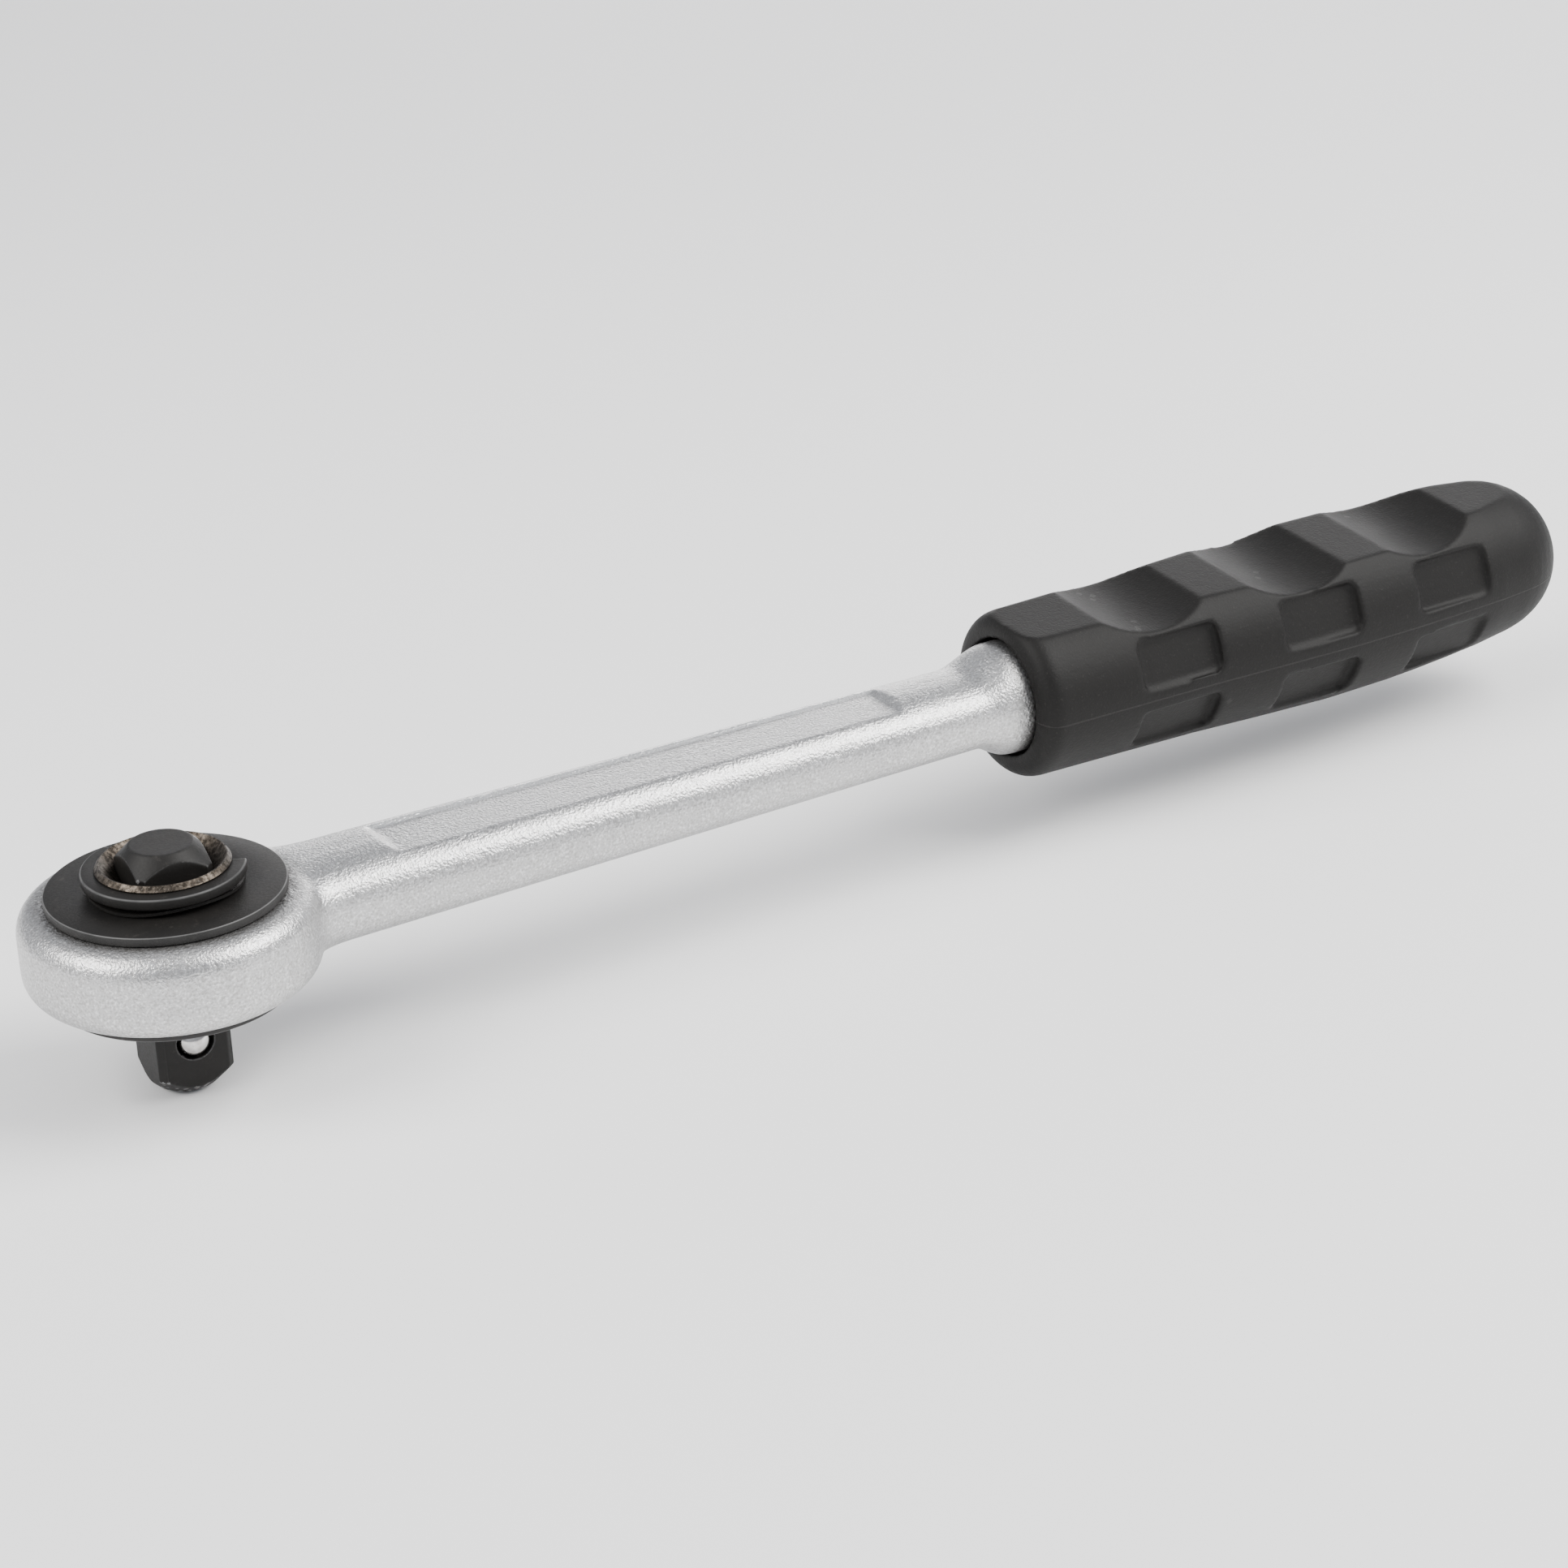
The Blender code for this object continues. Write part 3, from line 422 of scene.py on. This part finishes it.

# %% [markdown]
# ## Black oxide
# The drive, discs and rings are blackened steel with a trace of oil: nearly black, half dull, with a
# faint brown cast in patches. Handling polishes the corners back to bare steel, which shows as a thin
# light line along each edge. On the discs the light line along the rim is a painted highlight.


# %% Mix the black oxide
def black_oxide_finish(name, wear_and_highlight_edge=None):
    """Blackened steel whose outward edges are rubbed back to steel. wear_and_highlight_edge gives the
    edge line by its place; on the discs that line is a painted highlight.
    """
    oxide = Finish(name)
    grain = oxide.noise(0.00045, detail=3.0, roughness=0.6)
    cloud = oxide.noise(0.005, detail=4.0)
    scuffs = oxide.between(oxide.noise(0.0020, detail=5.0, roughness=0.7), 0.58, 0.75)
    edge = wear_and_highlight_edge(oxide) if wear_and_highlight_edge else oxide.edges(0.515, 0.57) * 0.55
    # The light edge line: rubbed steel, and on the discs a painted highlight.
    bare_edge_and_highlight = edge * oxide.between(cloud, 0.25, 0.6, 0.45, 1.0)
    colour = oxide.blend(cloud, (0.0050, 0.0048, 0.0046, 1), (0.0125, 0.0112, 0.0100, 1))
    colour = oxide.blend(scuffs * 0.22, colour, (0.07, 0.062, 0.055, 1))
    colour = oxide.blend(bare_edge_and_highlight, colour, (0.34, 0.34, 0.34, 1))
    rough = 0.40 + grain * 0.18 + cloud * 0.08 - bare_edge_and_highlight * 0.10
    oxide.shader.inputs["Specular IOR Level"].default_value = 0.24
    return oxide.fill(colour, rough, bare_edge_and_highlight * 0.6, grain, 0.00003, 0.9)


# Painted highlight: a light line painted along the disc's rounded rim, where the bevel catches the light.
def disc_rim_highlight(oxide):
    """A thin line along the disc's stamped edge."""
    away = oxide.radius()
    outer = oxide.between(away, DISC_RADIUS - 0.30 * MM, DISC_RADIUS - 0.16 * MM)
    fade = oxide.between(away, DISC_RADIUS - 0.12 * MM, DISC_RADIUS - 0.02 * MM, 1.0, 0.2)
    return outer * fade * 0.3


def ring_rim(oxide):
    """A thin line along the snap ring's outer edges."""
    outer = oxide.between(oxide.radius(), RING_RADIUS - 0.36 * MM, RING_RADIUS - 0.16 * MM)
    level = abs(oxide.axis(2) - MID_Z)
    top = oxide.between(level, ring_high.z - MID_Z - 0.4 * MM, ring_high.z - MID_Z - 0.1 * MM)
    return outer * top * 0.22


drive_black = black_oxide_finish("drive_black_oxide")
disc_black = black_oxide_finish("disc_black_oxide", disc_rim_highlight)
ring_black = black_oxide_finish("ring_black_oxide", ring_rim)
print("mixed", drive_black.name, disc_black.name, ring_black.name)

# %% [markdown]
# ## Hub steel, springs and balls
# The wheel's hub is bare and oily: brownish silver with darker stains and small glints round its rim.
# The springs are drawn steel, with fine streaks. The balls are polished.


# %% Mix the bare steels
def bare_steel_finish(name, dark, light, low_rough, high_rough, patch, depth, glint=0.3):
    """Bare steel stained in patches, with a fine grain."""
    steel = Finish(name)
    stain = steel.noise(patch, detail=4.0, roughness=0.6)
    grain = steel.noise(0.0003, detail=2.0)
    scratches = steel.between(steel.noise(patch * 0.35, detail=5.0, roughness=0.75), 0.56, 0.7)
    colour = steel.blend(steel.between(stain, 0.36, 0.62), dark, light)
    colour = steel.blend(scratches * glint, colour, (0.62, 0.58, 0.52, 1))
    rough = steel.between(stain, 0.3, 0.7, high_rough, low_rough) + grain * 0.06
    return steel.fill(colour, rough, 1.0, grain + scratches * 0.4, depth, 0.8)


hub_steel = bare_steel_finish("worn_hub_steel", (0.030, 0.025, 0.020, 1), (0.105, 0.088, 0.072, 1),
                              0.34, 0.55, 0.0009, 0.00005, 0.22)
spring_steel = bare_steel_finish("drawn_spring_steel", (0.20, 0.19, 0.18, 1), (0.40, 0.39, 0.38, 1),
                                 0.28, 0.4, 0.0014, 0.00001)
tool_steel = bare_steel_finish("hardened_tool_steel", (0.18, 0.17, 0.165, 1), (0.36, 0.35, 0.34, 1),
                               0.3, 0.45, 0.003, 0.00002)
ball_steel = bare_steel_finish("polished_ball_steel", (0.48, 0.465, 0.45, 1), (0.66, 0.65, 0.63, 1),
                               0.08, 0.14, 0.0016, 0.000002)
print("mixed four steels")

# %% [markdown]
# ## Grip plastic
# The grip is a hard black moulding with an even, fine spark texture. Handling has dulled it a little
# unevenly. Where the two halves of the mould met, a thin line runs along both sides at mid height; it
# is a bump read in coordinates that are turned with the grip, because the grip sits slightly turned.

# %% Mix the grip plastic
plastic = Finish("moulded_black_plastic")
turned_place = plastic.node("ShaderNodeMapping", {"vector_type": "TEXTURE"},
                            {0: plastic.place, 1: (0.0, 0.0, MID_Z), 2: (GRIP_TURN, 0.0, 0.0)})
across = abs(plastic.axis(2, turned_place))
parting = plastic.between(across, 0.06 * MM, 0.17 * MM, 1.0, 0.0)
spark = plastic.noise(0.00042, detail=2.0, roughness=0.55)
pebble = plastic.noise(0.0012, detail=2.0)
handled = plastic.noise(0.022, detail=4.0, roughness=0.6)
edge_rub = plastic.edges(0.525, 0.60)
dust = plastic.between(spark, 0.60, 0.74)
grip_colour = plastic.blend(handled, (0.0030, 0.0028, 0.0026, 1), (0.0075, 0.0068, 0.0062, 1))
grip_colour = plastic.blend(dust * 0.3, grip_colour, (0.034, 0.031, 0.029, 1))
grip_colour = plastic.blend(edge_rub * 0.2, grip_colour, (0.032, 0.030, 0.029, 1))
grip_colour = plastic.blend(parting * 0.25, grip_colour, (0.04, 0.037, 0.036, 1))
grip_rough = 0.47 + handled * 0.12 + spark * 0.10 - edge_rub * 0.06 - parting * 0.04
grip_height = spark * 0.6 + pebble * 0.4 + parting * 0.9
black_plastic = plastic.fill(grip_colour, grip_rough, 0.0, grip_height, 0.00009, 1.0)
plastic.shader.inputs["Specular IOR Level"].default_value = 0.22
print("mixed", black_plastic.name)

# %% [markdown]
# ## The forging
# Head, shank, collar and tang are one drop forging: no crease on it is sharp, because hot steel
# doesn't fill a sharp corner of a die. So a merged copy of the CAD piece is rebuilt as an even skin
# of small faces with Remesh, and a few passes of Smooth melt every crease into a small fillet.


# %% Soften the forging
def softened(node_name, name, skin, passes):
    """A CAD piece rebuilt as an even skin of faces of one size, with every crease melted."""
    piece = merged_copy(node_name, name)
    modify(piece, "REMESH", mode="VOXEL", voxel_size=skin, adaptivity=0.0)
    modify(piece, "SMOOTH", factor=0.5, iterations=passes)
    return settle(piece, angle=180)


SKIN = 0.5 * MM                # size of the faces on the forging and the grip
forging = softened("forged_body", "satin_forging", SKIN, 4)
forging.data.materials.append(satin_chrome)
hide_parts("forged_body")
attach(forging, "handle")

# %% [markdown]
# ## The moulded grip
# The scallops on top and the pockets on the sides all run softly into the round, as a moulding does
# that has to leave its tool. The same even skin and the same few passes of Smooth do it.

# %% Soften the grip
moulded_grip = softened("grip", "moulded_grip", SKIN, 4)
moulded_grip.data.materials.append(black_plastic)
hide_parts("grip")
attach(moulded_grip, "handle")

# %% [markdown]
# ## Cover discs
# Each disc is a stamped washer over the wheel. A cylinder gives the blank; its two caps are inset to
# the hub's size, the inner faces are deleted, and the two rims are bridged into the hole's wall. A
# bevel then rounds the stamped edges, which catch the light as a thin line.


# %% Stamp the discs
HOLE_PLAY = 0.3 * MM           # between the hub and the hole
STAMPED_EDGE = 0.3 * MM


def stamped_disc(node_name, name):
    """A flat disc with a hole for the hub and rounded edges."""
    low, high = corners_of(node_name)
    radius = (high.x - low.x) / 2
    select_nothing()
    bpy.ops.mesh.primitive_cylinder_add(vertices=160, radius=radius, depth=high.z - low.z,
                                        location=(0, 0, (low.z + high.z) / 2))
    disc = name_new(name)
    pick_faces(disc, lambda at, normal: abs(normal.z) > 0.9)
    bpy.ops.mesh.inset(thickness=radius - HUB_RADIUS - HOLE_PLAY)
    bpy.ops.mesh.delete(type="FACE")
    bpy.ops.mesh.select_all(action="DESELECT")
    bpy.ops.mesh.select_mode(type="EDGE")
    bpy.ops.mesh.select_non_manifold()
    bpy.ops.mesh.bridge_edge_loops()
    modify(disc, "BEVEL", width=STAMPED_EDGE, segments=3, limit_method="ANGLE")
    settle(disc)
    disc.data.materials.append(disc_black)
    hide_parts(node_name)
    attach(disc, "handle")


stamped_disc("cover_disc_top", "stamped_disc_top")
stamped_disc("cover_disc_bottom", "stamped_disc_bottom")

# %% [markdown]
# ## Snap rings
# A snap ring is bent from thick flat bar and left open, so it can spring into the hub's groove. One
# rectangle of bar is stood at the ring's cut end and spun round the drive's axis. The bevel rounds
# its long edges and the corners of the cut ends.


# %% Bend the rings
BAR_EDGE = 0.32 * MM


def bent_ring(node_name, name):
    """A thick open ring spun from a rectangle."""
    low, high = corners_of(node_name)
    reach = (RING_RADIUS + RING_INNER) / 2
    select_nothing()
    bpy.ops.mesh.primitive_plane_add(size=1.0, location=(0, 0, 0))
    ring = name_new(name)
    ring.scale = (RING_RADIUS - RING_INNER, high.z - low.z, 1.0)
    ring.rotation_euler = (math.pi / 2, 0.0, RING_START)
    middle_height = (low.z + high.z) / 2
    ring.location = (reach * math.cos(RING_START), reach * math.sin(RING_START), middle_height)
    bpy.ops.object.transform_apply(location=True, rotation=True, scale=True)
    bpy.ops.object.mode_set(mode="EDIT")
    bpy.ops.mesh.select_all(action="SELECT")
    bpy.ops.mesh.spin(steps=96, angle=-RING_SPAN, center=(0, 0, middle_height), axis=(0, 0, 1))
    bpy.ops.mesh.select_all(action="SELECT")
    bpy.ops.mesh.normals_make_consistent(inside=False)
    bpy.ops.object.mode_set(mode="OBJECT")
    modify(ring, "BEVEL", width=BAR_EDGE, segments=3, limit_method="ANGLE")
    settle(ring)
    ring.data.materials.append(ring_black)
    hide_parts(node_name)
    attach(ring, "wheel")


bent_ring("snap_ring_top", "bent_ring_top")
bent_ring("snap_ring_bottom", "bent_ring_bottom")
print("the CAD ring's size is", [round(v / MM, 2) for v in ring_high - ring_low], "mm")

# %% [markdown]
# ## Drive square
# The bar through the wheel is ground square, with its ends turned to a blunt cone so that it finds
# a socket. A finer skin than the forging's keeps its arrises crisp and only just rounded, and its
# even faces let the finish find the arrises and rub them bare.

# %% Round the drive's arrises
FINE_SKIN = 0.2 * MM
drive_bar = softened("drive_square", "drive_bar", FINE_SKIN, 3)
drive_bar.data.materials.append(drive_black)
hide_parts("drive_square")
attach(drive_bar, "drive")

# %% [markdown]
# ## Balls
# A ball holds the socket on the drive, and the other one waits in the wheel until the drive is pushed
# through. A polished ball is a mirror, so any facet would show. An icosphere has even faces and no
# poles; a level of subdivision makes them finer, and Cast pulls it back to a true sphere.


# %% Grind the balls
def ground_ball(node_name, name, body):
    """A smooth ball in the CAD ball's place."""
    low, high = corners_of(node_name)
    radius = (high.z - low.z) / 2
    select_nothing()
    bpy.ops.mesh.primitive_ico_sphere_add(subdivisions=4, radius=radius, location=(low + high) / 2)
    ball = name_new(name)
    modify(ball, "SUBSURF", levels=1, render_levels=1)
    modify(ball, "CAST", cast_type="SPHERE", factor=1.0, size=radius, use_radius_as_size=False)
    settle(ball, angle=180)
    ball.data.materials.append(ball_steel)
    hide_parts(node_name)
    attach(ball, body)


ground_ball("ball_lower", "ground_ball_lower", "ball_lower")
ground_ball("ball_upper", "ground_ball_upper", "ball_upper")

# %% [markdown]
# ## Coil springs
# A spring shortens when what it pushes on moves in, and a rigid piece would let the ball or the pawl
# cut through its last coils. Each spring here is a merged copy of the CAD coil with its own mesh; its
# length along the joint's axis and the joint's travel are measured and printed, but the coil stays rigid.


def coil_spring(node_name, name, body, joint_name):
    """A merged copy of a CAD coil, measured along a joint's axis; it stays rigid as the joint moves."""
    joint = [j for j in frame["joints"] if j["name"] == joint_name][0]
    direction = Vector(joint["axis"]).normalized()
    ends = [Vector(v.co).dot(direction) for v in nodes[node_name].data.vertices]
    length = max(ends) - min(ends)
    travel = max(abs(limit) for limit in joint["range_m"])
    coil = merged_copy(node_name, name)
    settle(coil, angle=60)
    coil.data.materials.append(spring_steel)
    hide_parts(node_name)
    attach(coil, body)
    1 - travel / length
    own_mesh(coil)
    print(name, "is", round(length / MM, 2), "mm long and gives", round(travel / MM, 2), "mm")


coil_spring("ball_spring_lower", "ball_coil_lower", "drive", "ball_lower_press")
coil_spring("ball_spring_upper", "ball_coil_upper", "drive", "ball_upper_press")
coil_spring("pawl_spring", "pawl_coil", "handle", "pawl_click")

# %% [markdown]
# ## Pieces that stay as the CAD has them
# The toothed wheel, washer, pawl and pin already have the right shape, so they keep their meshes and
# only get their real finishes.

# %% Finish the CAD pieces that stay
kept_finishes = {
    "ratchet_wheel": hub_steel,
    "wave_washer": ring_black,
    "pawl": tool_steel,
    "tang_pin": tool_steel,
}
for node_name, material in kept_finishes.items():
    for material_slot in nodes[node_name].material_slots:
        material_slot.material = material
print("finished", len(kept_finishes), "CAD pieces")
